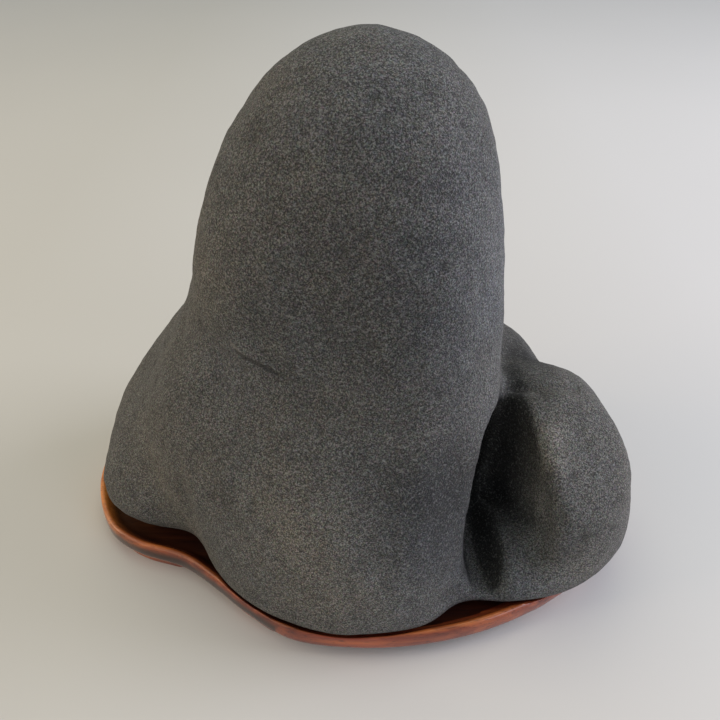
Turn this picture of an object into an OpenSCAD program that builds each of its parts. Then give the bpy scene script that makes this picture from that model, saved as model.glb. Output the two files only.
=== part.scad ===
// A water-worn viewing stone that sits loose in the carved seat of a low lacquered stand.
// Millimetres. +Z is up, the front is -Y, +X is to the right of somebody facing the front.
// The origin is on the table, under the middle of the whole object.

/* [Stand] */
// Height of each foot, from the table to the underside of the board
foot_height = 3; // [1:0.5:6]
// Thickness of the board at its wall, up to the crest of the lip
board_thickness = 5.2; // [4.5:0.1:9]
// Height of the seat floor above the underside of the board
seat_thickness = 2; // [1.5:0.1:3]
// Width of the rounded lip around the seat
lip_width = 2.2; // [1.5:0.1:4]
// Width of the slope from the lip down to the seat floor
seat_slope = 2.6; // [1:0.1:5]

/* [Feet] */
// Depth of a foot, from the wall inwards
foot_depth = 7; // [4:0.5:10]
// How far a foot stands back from the wall
foot_setback = 1.3; // [0.5:0.1:3]

/* [Fit] */
// Air between the stone and the seat that is carved to it
seat_gap = 0.4; // [0.3:0.05:0.6]

/* [Detail] */
// Rings of the stone's skin from top to bottom
stone_rings = 60; // [24:2:66]
// Segments of the stone's skin around each ring
stone_segments = 72; // [24:4:80]
// Stations around the stand for each control point of its outline
stations = 6; // [3:1:7]

/* [Hidden] */

stone_colour = [0.28, 0.28, 0.27];
wood_colour = [0.36, 0.16, 0.09];

board_bottom = foot_height;
seat_floor = board_bottom + seat_thickness;
lip_top = board_bottom + board_thickness;

// The shapes below are drawn about the stone's tower. This moves the origin to the middle.
middle = [3.5, 1.5, 0];

// ---- Stone: rounded lobes that melt into one another ----
// Each row: centre, radii, tilt about X, Y and Z, blend with the lobes above it, squareness
LOBES = [
    [[-4, 2, 62], [34, 29, 52], [0, 0, 0], 0, 2.2],       // tower
    [[1, 4, 99], [25, 21, 26], [0, 0, 0], 10, 2.0],       // head
    [[8, 0, 92], [17, 20, 22], [0, 0, 0], 10, 2.4],       // right shoulder of the head
    [[12, -2, 58], [19, 27, 38], [0, -2, 0], 12, 2.2],    // right hip
    [[4, -13, 14], [27, 36, 52], [-8, 0, 0], 14, 2.5],    // front buttress
    [[-13, -10, 14], [30, 35, 44], [-8, 0, 0], 14, 2.1],  // front left
    [[-43, 3, 15], [26, 24, 28], [0, 8, 0], 9, 2.2],      // left shoulder
    [[-48, -6, 17], [20, 15, 10], [0, 0, 20], 6, 2.2],    // left toe
    [[-32, 6, 37], [20, 20, 34], [0, 20, 0], 14, 2.0],    // left slope
    [[-32, -9, 35], [17, 19, 23], [0, 0, 0], 12, 2.0],    // left web
    [[46.5, -13, 22], [21.5, 25, 29], [0, -12, 5], 4, 2.4], // right lobe
    [[37, -28, 9], [21, 14, 9], [0, 0, 5], 6, 2.3],       // toe at the foot of the cleft
    [[32, 20, 18], [24, 24, 29], [0, -20, 0], 13, 2.0],   // back right
    [[-12, 20, 24], [44, 24, 40], [0, 0, 0], 14, 2.0]     // back
];
// Flats worn on some of the lobes, counted from 0. Each row: which lobes, a point on the flat,
// the way it faces, the width over which its edge is rounded
FLATS = [
    [[10], [52, -28, 40], [0.25, -0.62, 0.74], 3],                     // front of the right lobe
    [[10], [39.2, -21, 46], [-0.93, -0.42, 0.05], 2.5],                // its wall in the cleft
    [[10], [64.5, -6, 35], [0.90, 0.18, 0.42], 3],                     // its upper right side
    [[0, 1, 2, 3, 4], [16.6, -19.7, 93], [0.72, -0.65, 0.25], 4],      // right flank of the tower
    [[4, 5], [-12, -45, 32], [-0.22, -0.87, 0.44], 6]                  // low front
];
// The deep cleft between the front buttress and the right lobe, in the same form
CLEFT = [[32.5, -42, 32], [6, 36, 22], [0, 7, 9], 2.5, 2.5];
// Radius over which the flat underside turns up into the sides
underside_blend = 6;
underside = seat_floor + seat_gap;
// Rays from here reach the skin
heart = [26, 8, 30];
// The rays stand closer together towards the top, and around the side between the left end and
// the cleft: the most that this moves a ray, and the side it crowds them to, in degrees
crowding = 24;
crowded_side = 230;
// Longer than any ray from the heart to the skin, and the steps that bring it back to the skin
ray_start = 130;
ray_steps = 60;
skin_tolerance = 0.01;

// Turn about X, then Y, then Z
function turn(t) =
    let (a = t.x, b = t.y, c = t.z)
    [[cos(c), -sin(c), 0], [sin(c), cos(c), 0], [0, 0, 1]]
    * [[cos(b), 0, sin(b)], [0, 1, 0], [-sin(b), 0, cos(b)]]
    * [[1, 0, 0], [0, cos(a), -sin(a)], [0, sin(a), cos(a)]];

// A row ready for use, with the flats that cut this lobe
function prepared(row, which) =
    [row[0], row[1], turn(row[2]), row[3], row[4],
     [for (f = FLATS, w = f[0]) if (w == which) [f[1], f[2] / norm(f[2]), f[3]]]];
function prepared_lobes() = [for (i = [0 : len(LOBES) - 1]) prepared(LOBES[i], i)];

// Distance from p to one lobe, near enough: below 0 inside it, above 0 outside
function lobe_distance(p, l) =
    let (q = (p - l[0]) * l[2],
         r = l[1],
         n = l[4],
         s = [abs(q.x) / r.x, abs(q.y) / r.y, abs(q.z) / r.z],
         k = pow(pow(s.x, n) + pow(s.y, n) + pow(s.z, n), 1 / n))
    (k - 1) * pow(k, n - 1)
    / norm([pow(s.x, n - 1) / r.x, pow(s.y, n - 1) / r.y, pow(s.z, n - 1) / r.z]);

// The lesser of a and b, rounded over a width of k
function soft_min(a, b, k) =
    k <= 0 ? min(a, b) : let (h = max(k - abs(a - b), 0) / k) min(a, b) - h * h * k / 4;
function soft_max(a, b, k) = -soft_min(-a, -b, k);

function flattened(p, found, flats, i) =
    i == len(flats) ? found
    : flattened(p, soft_max(found, (p - flats[i][0]) * flats[i][1], flats[i][2]), flats, i + 1);
function worn_lobe(p, l) = flattened(p, lobe_distance(p, l), l[5], 0);

function lobes_distance(p, lobes, i, found) =
    i == len(lobes) ? found
    : lobes_distance(p, lobes, i + 1,
                     soft_min(found, worn_lobe(p, lobes[i]), lobes[i][3]));

function stone_distance(p, lobes, cleft) =
    let (body = lobes_distance(p, lobes, 1, worn_lobe(p, lobes[0])),
         cloven = soft_max(body, -lobe_distance(p, cleft), cleft[3]))
    soft_max(cloven, underside - p.z, underside_blend);

// Length of the ray along dir from the heart to the skin, coming in from outside
function reach(dir, t, n, lobes, cleft) =
    let (d = stone_distance(heart + t * dir, lobes, cleft))
    n == 0 || abs(d) < skin_tolerance ? t : reach(dir, t - d, n - 1, lobes, cleft);

module stone() {
    lobes = prepared_lobes();
    cleft = prepared(CLEFT, -1);
    m = stone_segments;
    function skin(u, v) =
        let (polar = 180 * u - crowding * sin(180 * u),
             around = 360 * v - crowding * sin(360 * v - crowded_side),
             dir = [sin(polar) * cos(around), sin(polar) * sin(around), cos(polar)])
        middle + heart + reach(dir, ray_start, ray_steps, lobes, cleft) * dir;
    points = concat(
        [skin(0, 0)],
        [for (i = [1 : stone_rings - 1], j = [0 : m - 1])
            skin(i / stone_rings, j / m)],
        [skin(1, 0)]);
    bottom = len(points) - 1;
    first = 1;
    last = bottom - m;
    faces = concat(
        [for (j = [0 : m - 1]) [0, first + (j + 1) % m, first + j]],
        [for (i = [0 : stone_rings - 3], j = [0 : m - 1])
            let (a = first + i * m + j, b = first + i * m + (j + 1) % m)
            each [[a, b, b + m], [a, b + m, a + m]]],
        [for (j = [0 : m - 1]) [bottom, last + j, last + (j + 1) % m]]);
    color(stone_colour) polyhedron(points, faces, convexity = 6);
}

// ---- Stand: one board whose wall follows the foot of the stone ----
// Control points of the outline, counter-clockwise from the left end
OUTLINE = [
    [-75, 4], [-73, -8], [-67, -19], [-58, -25], [-46, -29], [-37, -35], [-28, -42],
    [-16, -49], [0, -51], [16, -50], [32, -46], [47, -39], [59, -30], [66, -18], [68, -2],
    [67, 14], [62, 30], [50, 42], [32, 47], [10, 47], [-14, 48], [-38, 44], [-58, 34],
    [-72, 20]
];
corners = len(OUTLINE);

// A point of the closed smooth curve through the control points, u counted in control points
function outline_at(u) =
    let (i = floor(u),
         t = u - i,
         a = OUTLINE[(i + corners - 1) % corners],
         b = OUTLINE[i % corners],
         c = OUTLINE[(i + 1) % corners],
         d = OUTLINE[(i + 2) % corners])
    0.5 * (2 * b + (c - a) * t + (2 * a - 5 * b + 4 * c - d) * t * t
           + (3 * b - a - 3 * c + d) * t * t * t);

// The same point moved inwards, square to the wall
function inset_at(u, inset) =
    let (step = 0.05,
         v = u + corners,
         along = outline_at(v + step) - outline_at(v - step))
    outline_at(v) + inset * [-along.y, along.x] / norm(along);

// How high the wood can rise from z at a point before it comes within the gap of the stone
function headroom(x, y, z, n, limit, lobes, cleft) =
    let (spare = stone_distance([x, y, z], lobes, cleft) - seat_gap)
    z > limit ? limit
    : n == 0 || spare < skin_tolerance ? z
    : headroom(x, y, z + spare, n - 1, limit, lobes, cleft);

module stand_board() {
    lobes = prepared_lobes();
    cleft = prepared(CLEFT, -1);
    m = corners * stations;
    lip_depth = lip_top - seat_floor;
    // Inset from the outline and height of each ring up the wall, over the lip and down the slope
    wall = [
        [0.9, board_bottom],
        [0.3, board_bottom + 0.3],
        [0, board_bottom + 0.26 * board_thickness]
    ];
    lip = [
        [0.1, board_bottom + 0.62 * board_thickness],
        [0.3, lip_top - 0.7],
        [0.3 * lip_width, lip_top - 0.2],
        [0.5 * lip_width, lip_top],
        [0.8 * lip_width, lip_top - 0.2],
        [lip_width, lip_top - 0.3 * lip_depth],
        [lip_width + 0.5 * seat_slope, seat_floor + 0.25 * lip_depth],
        [lip_width + seat_slope, seat_floor]
    ];
    // The rest of the floor, as fractions of the way in to the middle
    floor_steps = [0.15, 0.4, 0.7];
    centre = [-2, -1];
    // The lip and the seat stay clear of the stone
    function under_stone(p, z) = min(z, headroom(p.x, p.y, 0, ray_steps, lip_top, lobes, cleft));
    function ring(r) = [for (j = [0 : m - 1])
        let (p = inset_at(j / stations, r[0])) [p.x, p.y, r[1]]];
    function seat_ring(r) = [for (j = [0 : m - 1])
        let (p = inset_at(j / stations, r[0])) [p.x, p.y, under_stone(p, r[1])]];
    function floor_ring(f) = [for (j = [0 : m - 1])
        let (edge = inset_at(j / stations, lip_width + seat_slope),
             p = edge + f * (centre - edge))
        [p.x, p.y, seat_floor]];
    points = concat(
        [for (r = wall) each ring(r)],
        [for (r = lip) each seat_ring(r)],
        [for (f = floor_steps) each floor_ring(f)],
        [[centre.x, centre.y, seat_floor]]);
    ring_count = len(wall) + len(lip) + len(floor_steps);
    top = len(points) - 1;
    last = top - m;
    faces = concat(
        [[for (j = [0 : m - 1]) j]],
        [for (i = [0 : ring_count - 2], j = [0 : m - 1])
            let (a = i * m + j, b = i * m + (j + 1) % m)
            each [[a, a + m, b + m], [a, b + m, b]]],
        [for (j = [0 : m - 1]) [top, last + (j + 1) % m, last + j]]);
    color(wood_colour) translate(middle) polyhedron(points, faces, convexity = 6);
}

// ---- Feet: short bars glued under the board, that follow its wall ----
// Middle of each foot along the outline and half its length, both counted in control points
foot_stations = 16;

module foot(middle_at, half) {
    function place(i) = 2 * i / foot_stations - 1;
    // The ends are rounded off on both sides
    function outer(i) = inset_at(middle_at + place(i) * half,
                                 foot_setback + 0.22 * foot_depth * pow(place(i), 8));
    function inner(i) = inset_at(middle_at + place(i) * half,
                                 foot_setback + foot_depth * (1 - 0.22 * pow(place(i), 8)));
    color(wood_colour) translate(middle)
    linear_extrude(height = foot_height)
    polygon(concat([for (i = [0 : foot_stations]) outer(i)],
                   [for (i = [foot_stations : -1 : 0]) inner(i)]));
}

module foot_left() { foot(3.2, 0.8); }
module foot_front_left() { foot(6.1, 0.6); }
module foot_front_right() { foot(11.3, 0.7); }
module foot_back_right() { foot(17.2, 0.6); }
module foot_back_left() { foot(21.8, 0.5); }

stone();
stand_board();
foot_left();
foot_front_left();
foot_front_right();
foot_back_right();
foot_back_left();
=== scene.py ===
"""The looks of a water-worn viewing stone on its lacquered wooden stand.

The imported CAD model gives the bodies, the sizes and the joint. The stone's skin is remeshed from its CAD
node, drawn onto the same smooth lobes that the CAD model is made of, and then weathered. The board and the
feet are rounded copies of their CAD nodes. Lengths are in millimetres until a mesh is written, in metres.
"""
import math

import bmesh
import bpy
import numpy as np
from mathutils import Euler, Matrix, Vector


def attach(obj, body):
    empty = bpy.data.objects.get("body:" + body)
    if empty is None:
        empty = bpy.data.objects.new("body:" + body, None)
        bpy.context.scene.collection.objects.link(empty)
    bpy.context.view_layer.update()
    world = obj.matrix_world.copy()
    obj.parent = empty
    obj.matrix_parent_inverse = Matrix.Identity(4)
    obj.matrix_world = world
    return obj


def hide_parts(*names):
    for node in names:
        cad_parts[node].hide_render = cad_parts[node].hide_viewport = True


MM = 0.001

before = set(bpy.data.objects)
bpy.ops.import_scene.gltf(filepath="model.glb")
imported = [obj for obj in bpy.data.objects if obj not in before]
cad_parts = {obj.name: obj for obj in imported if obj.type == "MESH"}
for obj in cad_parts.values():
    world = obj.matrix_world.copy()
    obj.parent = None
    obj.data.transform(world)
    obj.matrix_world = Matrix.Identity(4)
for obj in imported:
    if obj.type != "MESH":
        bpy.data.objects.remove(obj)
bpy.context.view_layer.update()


# ---------------------------------------------------------------- camera
# The middle of the object is this far from the stone's tower, about which the lobes are drawn
MIDDLE = np.array([3.5, 1.5, 0.0])
CAMERA_PLACE = MIDDLE + np.array([0.0, -131.8, 157.0])
CAMERA_PITCH = 39.2
LENS = 34.0
SENSOR = 36.0


def make_camera():
    data = bpy.data.cameras.new("photo_view")
    data.lens = LENS
    data.sensor_width = SENSOR
    data.clip_start = 0.01
    camera = bpy.data.objects.new("photo_view", data)
    camera.location = CAMERA_PLACE * MM
    camera.rotation_euler = Euler((math.radians(90 - CAMERA_PITCH), 0, 0))
    bpy.context.scene.collection.objects.link(camera)
    bpy.context.scene.camera = camera


# ---------------------------------------------------------------- the stone's smooth skin
# Each row: centre, radii, tilt about X, Y and Z, blend with the lobes above it, squareness
LOBES = (
    ((-4, 2, 62), (34, 29, 52), (0, 0, 0), 0, 2.2),       # tower
    ((1, 4, 99), (25, 21, 26), (0, 0, 0), 10, 2.0),       # head
    ((8, 0, 92), (17, 20, 22), (0, 0, 0), 10, 2.4),       # right shoulder of the head
    ((12, -2, 58), (19, 27, 38), (0, -2, 0), 12, 2.2),    # right hip
    ((4, -13, 14), (27, 36, 52), (-8, 0, 0), 14, 2.5),    # front buttress
    ((-13, -10, 14), (30, 35, 44), (-8, 0, 0), 14, 2.1),  # front left
    ((-43, 3, 15), (26, 24, 28), (0, 8, 0), 9, 2.2),      # left shoulder
    ((-48, -6, 17), (20, 15, 10), (0, 0, 20), 6, 2.2),    # left toe
    ((-32, 6, 37), (20, 20, 34), (0, 20, 0), 14, 2.0),    # left slope
    ((-32, -9, 35), (17, 19, 23), (0, 0, 0), 12, 2.0),    # left web
    ((46.5, -13, 22), (21.5, 25, 29), (0, -12, 5), 4, 2.4),  # right lobe
    ((37, -28, 9), (21, 14, 9), (0, 0, 5), 6, 2.3),       # toe at the foot of the cleft
    ((32, 20, 18), (24, 24, 29), (0, -20, 0), 13, 2.0),   # back right
    ((-12, 20, 24), (44, 24, 40), (0, 0, 0), 14, 2.0),    # back
)
# The deep cleft between the front buttress and the right lobe, in the same form
CLEFT = ((32.5, -42, 32), (6, 36, 22), (0, 7, 9), 2.5, 2.5)
# Flats worn on some lobes, counted from 0: which lobes, a point on the flat, the way it faces, blend
FLATS = (
    ((10,), (52, -28, 40), (0.25, -0.62, 0.74), 3),                # front of the right lobe
    ((10,), (39.2, -21, 46), (-0.93, -0.42, 0.05), 2.5),           # its wall in the cleft
    ((10,), (64.5, -6, 35), (0.90, 0.18, 0.42), 3),                # its upper right side
    ((0, 1, 2, 3, 4), (16.6, -19.7, 93), (0.72, -0.65, 0.25), 4),  # right flank of the tower
    ((4, 5), (-12, -45, 32), (-0.22, -0.87, 0.44), 6),             # low front
)
# Height of the flat underside, and the width over which it turns up into the sides
UNDERSIDE = 5.4
UNDERSIDE_BLEND = 6.0


def lobe_distance(p, lobe):
    """Distance from each point to one lobe, near enough: below 0 inside it."""
    centre, radii, tilt, _, n = lobe
    turned = np.array(Euler([math.radians(a) for a in tilt]).to_matrix())
    s = np.abs((p - centre) @ turned) / radii
    k = np.maximum((s ** n).sum(1) ** (1 / n), 1e-6)
    slope = np.linalg.norm(s ** (n - 1) / radii, axis=1)
    return (k - 1) * k ** (n - 1) / np.maximum(slope, 1e-9)


def soft_min(a, b, k):
    """The lesser of a and b, rounded over a width of k."""
    if k <= 0:
        return np.minimum(a, b)
    h = np.maximum(k - np.abs(a - b), 0) / k
    return np.minimum(a, b) - h * h * k / 4


def stone_distance(p):
    """Distance from each point to the stone's smooth skin, below 0 inside the stone."""
    d = None
    for i, lobe in enumerate(LOBES):
        one = lobe_distance(p, lobe)
        for which, point, facing, blend in FLATS:
            if i in which:
                facing = np.array(facing) / np.linalg.norm(facing)
                one = -soft_min(-one, -((p - point) @ facing), blend)
        d = one if d is None else soft_min(d, one, lobe[3])
    d = -soft_min(-d, lobe_distance(p, CLEFT), CLEFT[3])
    return -soft_min(-d, p[:, 2] - UNDERSIDE, UNDERSIDE_BLEND)


def slope_of(field, p, step=0.15):
    """The direction in which the field grows fastest, and how fast."""
    g = np.stack([field(p + step * e) - field(p - step * e) for e in np.eye(3)], 1) / (2 * step)
    size = np.maximum(np.linalg.norm(g, axis=1), 1e-6)
    return g / size[:, None], size


# ---------------------------------------------------------------- noise
LATTICE_SIDE = 64
LATTICE = np.random.default_rng(7).uniform(-1, 1, (LATTICE_SIDE,) * 3)


def noise(p, size, shift=0.0):
    """Smooth noise from -1 to 1 whose lumps are about size across."""
    q = p / size + shift
    i = np.floor(q).astype(int)
    f = q - i
    f = f * f * f * (f * (f * 6 - 15) + 10)
    total = np.zeros(len(p))
    for corner in np.ndindex(2, 2, 2):
        c = np.array(corner)
        weight = np.prod(np.where(c, f, 1 - f), axis=1)
        j = (i + c) % LATTICE_SIDE
        total += weight * LATTICE[j[:, 0], j[:, 1], j[:, 2]]
    return total


def smooth_step(x, low, high):
    t = np.clip((x - low) / (high - low), 0, 1)
    return t * t * (3 - 2 * t)


# ---------------------------------------------------------------- mesh helpers
def welded_copy(node, name):
    """A copy of a CAD node's mesh with its split vertices joined."""
    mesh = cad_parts[node].data.copy()
    mesh.name = name
    mesh.materials.clear()
    bm = bmesh.new()
    bm.from_mesh(mesh)
    bmesh.ops.remove_doubles(bm, verts=bm.verts, dist=0.002 * MM)
    bm.to_mesh(mesh)
    bm.free()
    piece = bpy.data.objects.new(name, mesh)
    bpy.context.scene.collection.objects.link(piece)
    return piece


def apply_modifiers(piece):
    bpy.context.view_layer.update()
    graph = bpy.context.evaluated_depsgraph_get()
    done = bpy.data.meshes.new_from_object(piece.evaluated_get(graph))
    piece.modifiers.clear()
    old = piece.data
    piece.data = done
    bpy.data.meshes.remove(old)


def points_of(mesh):
    co = np.zeros(len(mesh.vertices) * 3)
    mesh.vertices.foreach_get("co", co)
    return co.reshape(-1, 3)


def set_points(mesh, co):
    mesh.vertices.foreach_set("co", co.ravel())
    mesh.update()


def set_value(mesh, name, values):
    """Stores one number per vertex, which a material reads with an Attribute node."""
    attribute = mesh.attributes.new(name, "FLOAT", "POINT")
    attribute.data.foreach_set("value", values.astype(np.float32))


# ---------------------------------------------------------------- stone
# Voxel sizes of the two remeshes, and how often each is then drawn onto the lobes
SKIN_STEPS = ((1.3, 9), (0.8, 4))
# No vertex moves further than this in one such step
LONGEST_MOVE = 1.5
# Height of the crest of the board's lip
LIP_TOP = 8.2

# Unevenness of the rock: height and width of the lumps, and a shift that sets each layer apart
LUMPS = ((0.50, 27, 3.3), (0.22, 13, 8.1), (0.20, 6.5, 1.7), (0.13, 3.4, 5.9), (0.09, 1.8, 2.2))

# Worn places: points along the middle of each, half width, depth (below 0 stands proud)
GROOVES = (
    # Edge of the left web
    (((-40, -5, 63), (-40.5, -16, 50), (-40.5, -25, 39), (-41, -30, 22)), 3.2, 0.75),
    # Fold over the right lobe, and a short one beside it
    (((37, -10, 49), (43, -12, 50), (51, -11, 50)), 2.2, 1.3),
    (((47, -9, 50), (56, -14, 46)), 1.5, 0.5),
    # Hollow left of the tower's front, and a scoop above the crack
    (((-31, -19, 68), (-31, -23, 54)), 8.0, 0.7),
    (((-22.5, -23, 73), (-19, -24, 73)), 4.0, 0.6),
    # Hollow beside the cleft
    (((22, -36, 62), (20, -42, 40)), 5.0, 0.6),
    # Crest of the right lobe, and the low ridge across the front
    (((43, -24, 44), (44, -33, 36), (45, -38, 24)), 2.5, -0.5),
    (((-20, -40, 44), (-4, -47, 34), (8, -49, 16)), 6.0, -0.7),
)
# Pits at given places, and how many more are strewn over the skin
PITS = ((48, -30, 40), (54, -26, 42), (51, -37, 28), (57, -30, 34), (46, -35, 33), (-8, -45, 38),
        (-52, -14, 34), (12, -45, 30), (-30, -34, 36), (2, -28, 76), (-18, -22, 80), (60, -18, 34))
STREWN_PITS = 150
PIT_DEPTH = 0.35

# Patches of the rock's tone, some of them painted highlight and painted shade on the low front ridge, on
# the cleft's wall and foot and on the back of the right lobe: centre, radius, tone (paler above 0, darker
# below), cast (cool above 0, warm below)
PATCHES_AND_PAINTED_LIGHT = (
    ((-10, -45, 30), 20, 0.34, -0.5), ((4, -49, 12), 17, 0.30, -0.4), ((20, -37, 44), 15, -0.55, 0.0),
    ((4, -26, 84), 24, -0.28, 0.0), ((-4, 0, 124), 16, 0.08, 0.0), ((28, -10, 84), 15, 0.42, 0.1),
    ((31, -22, 52), 9, 0.40, 0.2), ((42, -24, 43), 8, 0.60, -0.5), ((62, -24, 30), 18, 0.16, -0.8),
    ((44, 6, 43), 9, -0.65, 0.0), ((45, 16, 40), 12, -0.60, 0.0), ((-48, -16, 26), 18, 0.16, -0.6),
    ((51, -37, 14), 12, 0.50, -0.5), ((-34, -8, 84), 14, 0.10, -0.4), ((34, -24, 24), 8, -0.60, 0.2),
    ((41, -27, 29), 7, 0.70, -0.3), ((-16, -42, 38), 10, 0.18, 0.0), ((-6, -46, 26), 10, 0.25, 0.0),
    ((12, -42, 42), 12, -0.22, 0.0), ((17, -43, 28), 10, -0.25, 0.0),
)


def distance_to_line(p, points):
    """Distance from each of p to a line of straight stretches through the points."""
    best = np.full(len(p), 1e9)
    for a, b in zip(points[:-1], points[1:]):
        a, b = np.array(a, float), np.array(b, float)
        t = np.clip((p - a) @ (b - a) / ((b - a) @ (b - a)), 0, 1)
        best = np.minimum(best, np.linalg.norm(p - a - t[:, None] * (b - a), axis=1))
    return best


def weathering(p):
    """How far each point of the skin moves outwards."""
    out = sum(height * noise(p, width, shift) for height, width, shift in LUMPS)
    for points, half, depth in GROOVES:
        out -= depth * np.exp(-(distance_to_line(p, points) / half) ** 2 * 1.6)
    return out


def pitting(p):
    """From 0 to 1 inside the small pits: a few placed ones and many seeded ones."""
    seeds = np.random.default_rng(23)
    chosen = p[seeds.integers(0, len(p), STREWN_PITS)]
    centres = np.concatenate([np.array(PITS, float), chosen])
    radii = np.concatenate([np.full(len(PITS), 1.5), seeds.uniform(0.7, 1.5, len(chosen))])
    deep = np.zeros(len(p))
    for centre, radius in zip(centres, radii):
        near = np.linalg.norm(p - centre, axis=1) / radius
        deep = np.maximum(deep, (1 - smooth_step(near, 0.15, 1.15)) * min(1, radius))
    return deep


def openness(p, n):
    """From 0 deep in a cleft to 1 on open skin."""
    clear = np.ones(len(p))
    for reach in (2.5, 6, 12, 20):
        clear *= np.clip(stone_distance(p + reach * n) / reach, 0.03, 1) ** 0.5
    return clear


def smooth_skin(piece):
    """Remeshes a piece and draws it onto the lobes. Returns its points, in millimetres about the tower."""
    for voxel, rounds in SKIN_STEPS:
        remesh = piece.modifiers.new("skin", "REMESH")
        remesh.mode = "VOXEL"
        remesh.voxel_size = voxel * MM
        apply_modifiers(piece)
        p = points_of(piece.data) / MM - MIDDLE
        for _ in range(rounds):
            n, size = slope_of(stone_distance, p)
            move = np.clip(stone_distance(p) / size, -LONGEST_MOVE, LONGEST_MOVE)
            p = p - move[:, None] * n
        set_points(piece.data, (p + MIDDLE) * MM)
    return p


def tones_and_painted_light(p):
    """How much paler and how much cooler than the rest of the rock each point is, painted highlight and
    painted shade included.
    """
    tone, cool = np.zeros(len(p)), np.zeros(len(p))
    for centre, radius, gain, cast in PATCHES_AND_PAINTED_LIGHT:
        near = np.exp(-(np.linalg.norm(p - centre, axis=1) / radius) ** 2 * 1.2)
        tone += gain * near
        cool += cast * near
    return tone, cool


def make_stone():
    piece = welded_copy("stone", "stone_skin")
    p = smooth_skin(piece)
    n, _ = slope_of(stone_distance, p)
    pits = pitting(p) * smooth_step(p[:, 2], LIP_TOP, LIP_TOP + 3)
    tone, cool = tones_and_painted_light(p)
    # Painted shade: the colour darkens deep in the cleft, and the patches add the rock's tone with painted
    # highlight and painted shade
    painted_shade_and_tone = (1 + tone) * (0.24 + 0.76 * smooth_step(openness(p, n), 0.0, 0.30))
    out = weathering(p) - PIT_DEPTH * pits
    # In the seat the skin may only sink a little. Above it the weathering grows to its full depth
    free = smooth_step(p[:, 2], LIP_TOP, LIP_TOP + 8)
    sunk = np.minimum(out, 0) * 0.3 * smooth_step(p[:, 2], 5.5, 7)
    out = out * free + sunk * (1 - free)
    set_points(piece.data, (p + out[:, None] * n + MIDDLE) * MM)
    piece.data.shade_smooth()
    set_value(piece.data, "painted_shade_and_tone", painted_shade_and_tone)
    set_value(piece.data, "cool", cool)
    set_value(piece.data, "pits", pits)
    piece.data.materials.append(stone_material())
    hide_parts("stone")
    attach(piece, "stone")


# ---------------------------------------------------------------- stand
# About the middle of the object: the centre of the painted orange light on the left end and its radius, and
# the seat's half length and width
PAINTED_ORANGE_END = (-72, -6, 6)
PAINTED_ORANGE_RADIUS = 24
SEAT_REACH = (69, 47)


def wood_marks(piece):
    """Painted light: a brighter orange on the left end and along the lip's crest. Painted shade: the seat
    lies darker.
    """
    p = points_of(piece.data) / MM
    z = p[:, 2]
    worn = np.exp(-(np.linalg.norm(p - PAINTED_ORANGE_END, axis=1) / PAINTED_ORANGE_RADIUS) ** 2 * 1.4)
    # Painted highlight: the crest of the lip turns part of the way to the brighter orange
    worn = np.maximum(worn, 0.35 * smooth_step(z, 7.4, LIP_TOP))
    in_seat = (np.linalg.norm(p[:, :2] / SEAT_REACH, axis=1) < 1) & (z > 4)
    set_value(piece.data, "worn", worn)
    # Painted shade down in the seat, darkest at its bottom
    set_value(piece.data, "deep", np.where(in_seat, 1 - smooth_step(z, 5.6, 8.0), 0))


def make_board():
    piece = welded_copy("stand_board", "stand_board_carved")
    bm = bmesh.new()
    bm.from_mesh(piece.data)
    bmesh.ops.join_triangles(bm, faces=bm.faces, angle_face_threshold=math.radians(40),
                             angle_shape_threshold=math.radians(60))
    bm.to_mesh(piece.data)
    bm.free()
    rounded = piece.modifiers.new("rounded", "SUBSURF")
    rounded.levels = 2
    apply_modifiers(piece)
    piece.data.shade_smooth()
    wood_marks(piece)
    piece.data.materials.append(wood_material())
    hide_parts("stand_board")
    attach(piece, "stand")


FEET = ("foot_left", "foot_front_left", "foot_front_right", "foot_back_right", "foot_back_left")
FOOT_ROUNDING = 0.7


def make_foot(node):
    piece = welded_copy(node, node + "_carved")
    bm = bmesh.new()
    bm.from_mesh(piece.data)
    bmesh.ops.dissolve_limit(bm, angle_limit=math.radians(1), verts=bm.verts, edges=bm.edges)
    # The edges that touch the table, and the upright ones
    sharp = [e for e in bm.edges if e.calc_face_angle(0) > math.radians(40)
             and min(v.co.z for v in e.verts) < 0.5 * MM]
    bmesh.ops.bevel(bm, geom=sharp, offset=FOOT_ROUNDING * MM, segments=4, profile=0.5, affect="EDGES")
    bmesh.ops.triangulate(bm, faces=[f for f in bm.faces if len(f.verts) > 4])
    bm.to_mesh(piece.data)
    bm.free()
    wood_marks(piece)
    piece.data.materials.append(wood_material())
    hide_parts(node)
    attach(piece, "stand")


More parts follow.
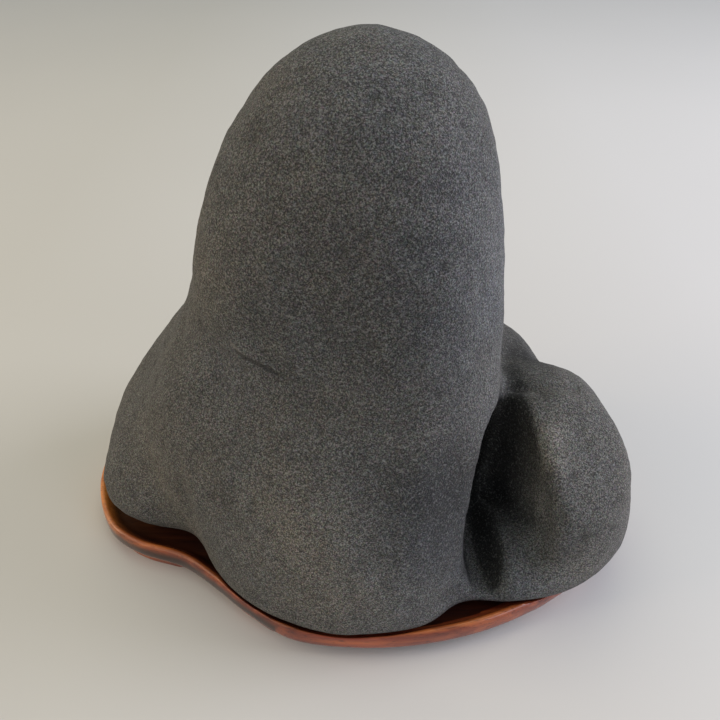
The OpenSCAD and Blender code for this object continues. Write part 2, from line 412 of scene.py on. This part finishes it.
# ---------------------------------------------------------------- materials
class Nodes:
    """A short way to add shader nodes and join them up."""

    def __init__(self, name):
        self.material = bpy.data.materials.new(name)
        self.material.use_nodes = True
        self.tree = self.material.node_tree
        self.tree.nodes.clear()

    def add(self, kind, inputs=None, **settings):
        node = self.tree.nodes.new(kind)
        for key, value in settings.items():
            setattr(node, key, value)
        for key, value in (inputs or {}).items():
            self.join(value, node.inputs[key])
        return node

    def join(self, value, socket):
        if isinstance(value, bpy.types.NodeSocket):
            self.tree.links.new(value, socket)
        else:
            socket.default_value = value

    def math(self, operation, a, b=0.0, clamp=False):
        node = self.add("ShaderNodeMath", {0: a, 1: b}, operation=operation, use_clamp=clamp)
        return node.outputs[0]

    def mix(self, factor, a, b, blend="MIX"):
        node = self.add("ShaderNodeMix", data_type="RGBA", blend_type=blend)
        self.join(factor, node.inputs[0])
        self.join(a, node.inputs[6])
        self.join(b, node.inputs[7])
        return node.outputs[2]

    def ramp(self, value, *stops):
        """stops are (place, grey) or (place, colour)."""
        node = self.add("ShaderNodeValToRGB", {0: value})
        elements = node.color_ramp.elements
        while len(elements) < len(stops):
            elements.new(0.5)
        for element, (place, colour) in zip(elements, stops):
            element.position = place
            grey = isinstance(colour, (int, float))
            element.color = (colour, colour, colour, 1) if grey else (*colour, 1)
        return node.outputs[0]

    def scale(self, vector, amount):
        """A colour or a vector times a number."""
        node = self.add("ShaderNodeVectorMath", {0: vector}, operation="SCALE")
        self.join(amount, node.inputs["Scale"])
        return node.outputs[0]

    def value(self, name):
        """A number stored on the mesh's vertices."""
        return self.add("ShaderNodeAttribute", attribute_name=name).outputs["Fac"]

    def line(self, at, points, flattening):
        """Distance in metres from a line of points given in millimetres about the tower.

        Below 1, the flattening makes the distance along Y count for less.
        """
        flat = (1, flattening, 1)
        at = self.vector("MULTIPLY", at, flat)
        ends = [Vector((np.array(point) + MIDDLE) * flat * MM) for point in points]
        best = None
        for a, b in zip(ends[:-1], ends[1:]):
            along = b - a
            away = self.vector("SUBTRACT", at, tuple(a))
            t = self.add("ShaderNodeVectorMath", {0: away, 1: tuple(along / along.length_squared)},
                         operation="DOT_PRODUCT").outputs["Value"]
            t = self.math("MAXIMUM", self.math("MINIMUM", t, 1.0), 0.0)
            gap = self.add("ShaderNodeVectorMath", {0: away, 1: self.scale(tuple(along), t)},
                           operation="DISTANCE").outputs["Value"]
            best = gap if best is None else self.math("MINIMUM", best, gap)
        return best

    def vector(self, operation, a, b):
        return self.add("ShaderNodeVectorMath", {0: a, 1: b}, operation=operation).outputs[0]

    def stretched(self, coordinates, by):
        """Coordinates in which a pattern is drawn out along X."""
        return self.add("ShaderNodeMapping", {"Vector": coordinates, "Scale": (by, 1, 1)}).outputs[0]

    def noise(self, coordinates, size, detail=2.0, rough=0.5, distortion=0.0):
        """Noise whose lumps are about size millimetres across."""
        return self.add("ShaderNodeTexNoise", {
            "Vector": coordinates, "Scale": 1 / (size * MM), "Detail": detail,
            "Roughness": rough, "Distortion": distortion}).outputs["Fac"]

    def bump(self, height, strength, distance, normal=None):
        inputs = {"Height": height, "Strength": strength, "Distance": distance * MM}
        if normal is not None:
            inputs["Normal"] = normal
        return self.add("ShaderNodeBump", inputs).outputs[0]

    def finish(self, **inputs):
        shader = self.add("ShaderNodeBsdfPrincipled", inputs)
        self.add("ShaderNodeOutputMaterial", {"Surface": shader.outputs[0]})
        return self.material


# The crack across the front of the tower, and the pale chip at its left end. Their depth counts for
# little, so that both stay on the weathered skin
CRACK = ((-26, -21.5, 68.9), (-23.5, -23, 68.3), (-20.5, -24, 68), (-18.5, -25, 67.3), (-17, -25.5, 66.8))
CHIP = ((-26.5, -21.5, 69.9), (-25, -22.5, 69))
CRACK_FLATTENING = 0.2


def rock_colour(m, at, mottle, painted_shade_and_tone, cool):
    """Olive to slate, in large soft patches."""
    cast = m.math("ADD", m.math("MULTIPLY", cool, 0.45), m.math("SUBTRACT", m.noise(at, 34, 3, 0.55), 0.5))
    base = m.ramp(m.math("ADD", cast, 0.5), (0.2, (0.088, 0.081, 0.068)), (0.5, (0.078, 0.077, 0.072)),
                  (0.85, (0.076, 0.080, 0.086)))
    uneven = m.math("ADD", 0.95, m.math("SUBTRACT", mottle, 0.5))
    # The stored value brings painted shade in the cleft, and the patches' tone with painted highlight and
    # painted shade
    return m.scale(base, m.math("MULTIPLY", painted_shade_and_tone, uneven))


def add_crystals(m, at, base, grain, fine):
    """Speckles of every tone, with scattered pale and dark crystals among them."""
    base = m.scale(base, m.ramp(grain, (0.36, 0.36), (0.5, 0.88), (0.65, 1.95)))
    base = m.scale(base, m.ramp(fine, (0.35, 0.80), (0.65, 1.20)))
    tint = m.add("ShaderNodeTexNoise", {"Vector": at, "Scale": 1 / (0.6 * MM), "Detail": 1.0})
    base = m.mix(0.28, base, tint.outputs["Color"], "SOFT_LIGHT")
    flecks = m.noise(at, 0.55, 0.5, 0.5)
    pale = m.ramp(flecks, (0.60, 0.0), (0.70, 1.0))
    base = m.mix(m.math("MULTIPLY", pale, 0.30), base, (0.25, 0.25, 0.235, 1))
    dark = m.ramp(flecks, (0.29, 1.0), (0.39, 0.0))
    return m.mix(m.math("MULTIPLY", dark, 0.55), base, (0.022, 0.022, 0.024, 1))


def add_crack(m, at, base):
    """The colour with the crack and the chip in it, and where the crack is open, from 0 to 1."""
    wander = m.math("MULTIPLY", m.math("SUBTRACT", m.noise(at, 1.5, 2), 0.5), 0.6 * MM)
    from_crack = m.math("ADD", m.line(at, CRACK, CRACK_FLATTENING), wander)
    gape = m.ramp(m.math("MULTIPLY", from_crack, 1 / MM), (0.18, 1.0), (0.60, 0.0))
    from_chip = m.line(at, CHIP, CRACK_FLATTENING)
    chip = m.ramp(m.math("MULTIPLY", from_chip, 1 / MM), (0.2, 1.0), (0.9, 0.0))
    base = m.mix(m.math("MULTIPLY", chip, 0.5), base, (0.22, 0.21, 0.19, 1))
    return m.mix(m.math("MULTIPLY", gape, 0.75), base, (0.02, 0.02, 0.02, 1)), gape


def stone_material():
    m = Nodes("basalt")
    at = m.add("ShaderNodeTexCoord").outputs["Object"]
    mottle = m.noise(at, 6, 4, 0.62)
    grain = m.noise(at, 0.31, 1.5, 0.6)
    fine = m.noise(at, 0.24, 0.5, 0.5)
    # Painted shade in the cleft and painted highlight and shade in some patches come in with the stored
    # value
    base = rock_colour(m, at, mottle, m.value("painted_shade_and_tone"), m.value("cool"))
    base = add_crystals(m, at, base, grain, fine)
    base = m.mix(m.math("MULTIPLY", m.value("pits"), 0.5), base, (0.03, 0.029, 0.027, 1))
    base, gape = add_crack(m, at, base)
    height = m.math("ADD", m.math("MULTIPLY", grain, 0.75), m.math("MULTIPLY", fine, 0.3))
    normal = m.bump(mottle, 0.5, 0.7)
    normal = m.bump(height, 0.9, 0.28, normal)
    normal = m.bump(m.math("SUBTRACT", 1.0, gape), 0.8, 0.5, normal)
    rough = m.ramp(grain, (0.3, 0.92), (0.7, 0.70))
    return m.finish(**{"Base Color": base, "Roughness": rough, "Normal": normal, "Specular IOR Level": 0.4})


def wood_material():
    """Red-brown wood under a clear coat, the same one for the board and its feet."""
    if "red_lacquer" in bpy.data.materials:
        return bpy.data.materials["red_lacquer"]
    m = Nodes("red_lacquer")
    at = m.add("ShaderNodeTexCoord").outputs["Object"]
    # The grain runs along X, so that streaks and pores are drawn out that way
    streaks = m.noise(m.stretched(at, 0.09), 2.2, 4, 0.6, 0.4)
    pores = m.noise(m.stretched(at, 0.12), 0.35, 2, 0.6)
    cloud = m.noise(at, 26, 2, 0.5)
    base = m.ramp(streaks, (0.32, (0.130, 0.020, 0.008)), (0.5, (0.235, 0.042, 0.014)),
                  (0.68, (0.380, 0.086, 0.022)))
    orange = m.ramp(streaks, (0.30, (0.34, 0.095, 0.014)), (0.70, (0.60, 0.22, 0.040)))
    # Painted light: the left end and the lip's crest turn a brighter orange
    base = m.mix(m.value("worn"), base, orange)
    base = m.scale(base, m.ramp(cloud, (0.3, 0.84), (0.7, 1.32)))
    base = m.scale(base, m.ramp(pores, (0.33, 0.45), (0.42, 1.0)))
    # Painted shade in the seat
    base = m.scale(base, m.math("SUBTRACT", 1.0, m.math("MULTIPLY", m.value("deep"), 0.88)))
    normal = m.bump(streaks, 0.12, 0.2)
    normal = m.bump(cloud, 0.15, 2.0, normal)
    return m.finish(**{
        "Base Color": base, "Roughness": 0.5, "Normal": normal, "Specular IOR Level": 0.2,
        "Coat Weight": 0.9, "Coat Roughness": 0.07, "Coat IOR": 1.5})


def floor_material():
    """Pale and slightly glossy, with painted light and shade: a little warmer and darker towards the left.
    """
    m = Nodes("pale_table")
    at = m.add("ShaderNodeTexCoord").outputs["Object"]
    across = m.add("ShaderNodeSeparateXYZ", {0: at}).outputs[0]
    across = m.math("ADD", m.math("MULTIPLY", across, 3.3), 0.5, clamp=True)
    # Painted light and shade across the floor: warmer and darker on the left, paler and cooler on the right
    tone = m.ramp(across, (0.0, (0.55, 0.535, 0.485)), (1.0, (0.64, 0.635, 0.63)))
    tone = m.scale(tone, m.ramp(m.noise(at, 300, 2, 0.5), (0.3, 0.98), (0.7, 1.02)))
    return m.finish(**{"Base Color": tone, "Roughness": 0.4, "Specular IOR Level": 0.3})


# ---------------------------------------------------------------- studio, in metres
FLOOR_RADIUS = 15.0
SKY = (0.87, 0.93, 1.0, 1)
SKY_STRENGTH = 0.43
# What the lights point at
AIM = (0, 0, 0.05)
# Each row: name, place, width and height, power in watts, colour
LIGHTS = (
    ("overhead", (-0.10, 0.35, 0.95), (0.9, 0.8), 2.6, (1.0, 0.95, 0.68)),
    ("warm_left", (-0.85, -0.05, 0.45), (0.5, 0.6), 3.1, (1.0, 0.75, 0.50)),
    ("cool_right", (0.80, 0.10, 0.40), (0.5, 0.6), 6.1, (0.90, 0.89, 1.0)),
    ("left_front", (-0.75, -0.60, 0.40), (0.5, 0.5), 0.9, (1.0, 0.90, 0.62)),
    ("right_front", (0.75, -0.60, 0.40), (0.5, 0.5), 2.1, (0.76, 0.78, 1.0)),
)


def make_floor():
    bm = bmesh.new()
    bmesh.ops.create_circle(bm, cap_ends=True, segments=128, radius=FLOOR_RADIUS)
    mesh = bpy.data.meshes.new("table")
    bm.to_mesh(mesh)
    bm.free()
    floor = bpy.data.objects.new("table", mesh)
    floor.data.materials.append(floor_material())
    bpy.context.scene.collection.objects.link(floor)


def area_light(name, place, size, power, colour):
    data = bpy.data.lights.new(name, "AREA")
    data.shape = "RECTANGLE"
    data.size, data.size_y = size
    data.energy = power
    data.color = colour
    light = bpy.data.objects.new(name, data)
    light.location = place
    light.rotation_euler = (Vector(AIM) - Vector(place)).to_track_quat("-Z", "Y").to_euler()
    bpy.context.scene.collection.objects.link(light)


def make_studio():
    world = bpy.data.worlds.new("studio")
    world.use_nodes = True
    background = world.node_tree.nodes["Background"]
    background.inputs["Color"].default_value = SKY
    background.inputs["Strength"].default_value = SKY_STRENGTH
    bpy.context.scene.world = world
    for light in LIGHTS:
        area_light(*light)
    view = bpy.context.scene.view_settings
    view.view_transform = "Standard"
    view.look = "None"


make_camera()
make_stone()
make_board()
for foot in FEET:
    make_foot(foot)
make_floor()
make_studio()
